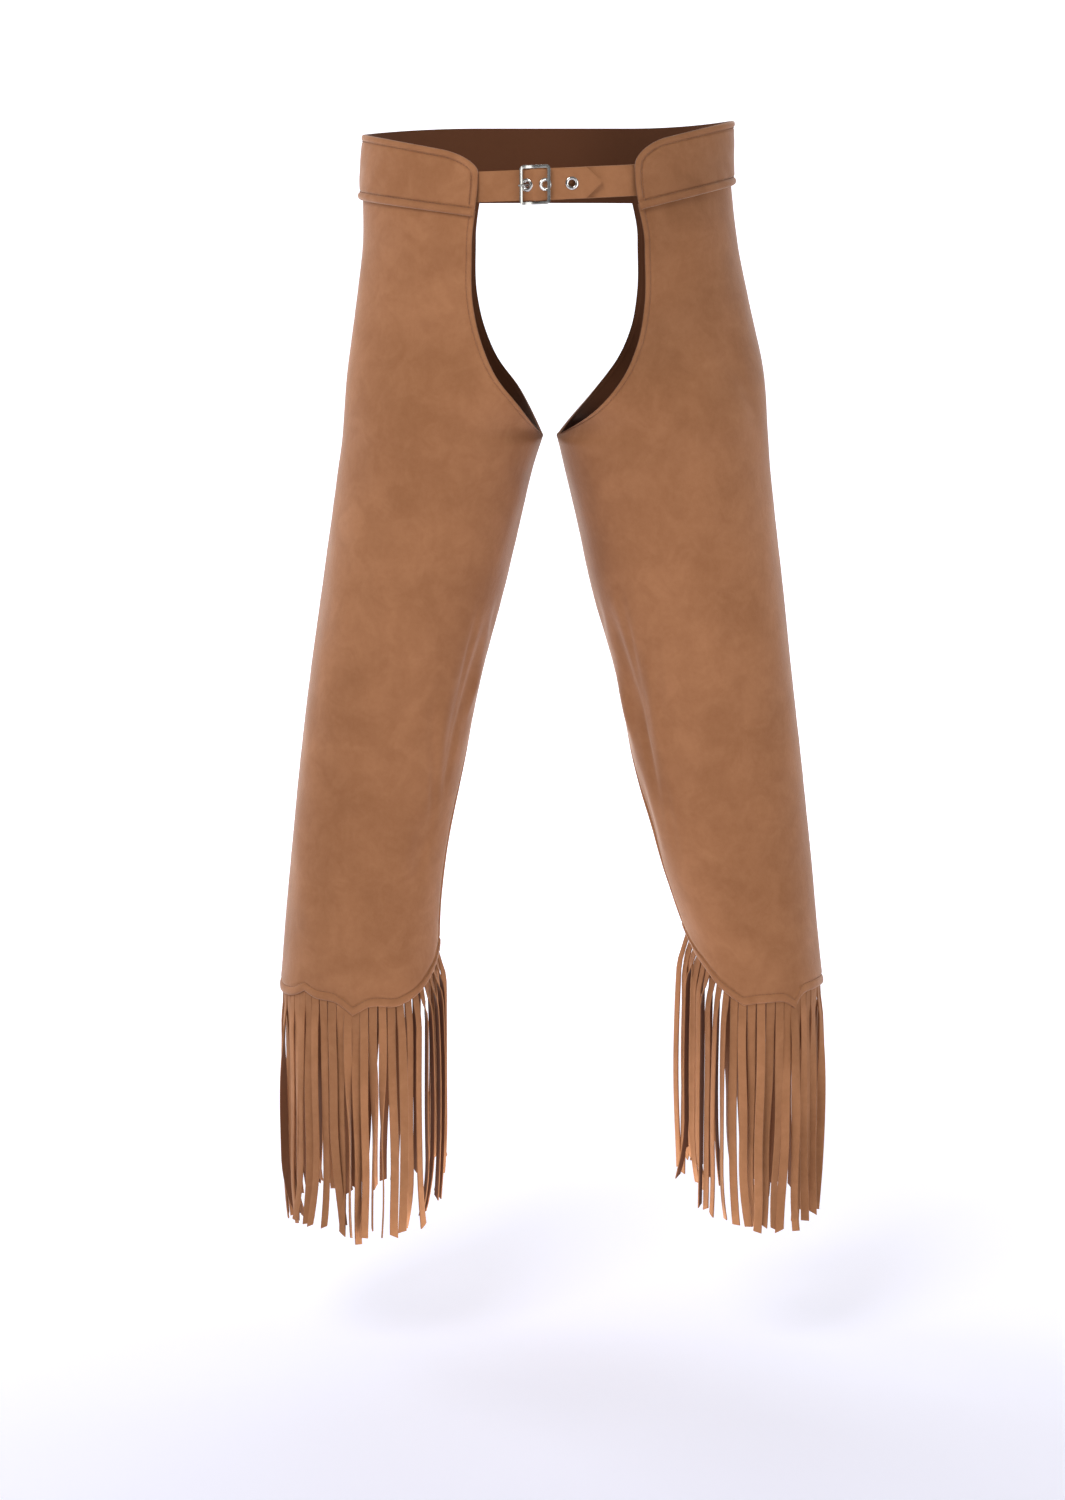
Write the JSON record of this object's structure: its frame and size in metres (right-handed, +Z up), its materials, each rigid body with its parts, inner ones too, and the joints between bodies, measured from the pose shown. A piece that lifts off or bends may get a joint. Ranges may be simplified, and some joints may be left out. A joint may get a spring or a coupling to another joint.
{
  "type": "fringed suede chaps",
  "caption": "Seatless suede leg coverings on a buckled belt: two wide legs, hip yokes and long strip fringe below shaped hems, hollow and as worn.",
  "frame": {"origin": "middle of the wearer's waist, level with the belt", "axes": "+Z up, the wearer faces -Y, +X towards the wearer's left leg"},
  "size_m": [0.4818, 0.2377, 0.9722],
  "materials": {
    "suede": "brushed faux suede, soft nap",
    "strand_suede": "cut faux suede strips",
    "silver": "polished silver-coloured metal"
  },
  "bodies": {
    "root": {"yoke_right": "suede", "leg_front_right": "suede", "leg_back_right": "suede", "fringe_front_right": "strand_suede", "fringe_back_right": "strand_suede", "yoke_left": "suede", "leg_front_left": "suede", "leg_back_left": "suede", "fringe_front_left": "strand_suede", "fringe_back_left": "strand_suede", "strap_point": "suede", "strap_buckle": "suede", "buckle_frame": "silver", "buckle_bar": "silver", "buckle_prong": "silver", "eyelet_1": "silver", "eyelet_2": "silver", "eyelet_3": "silver"}
  },
  "joints": []
}
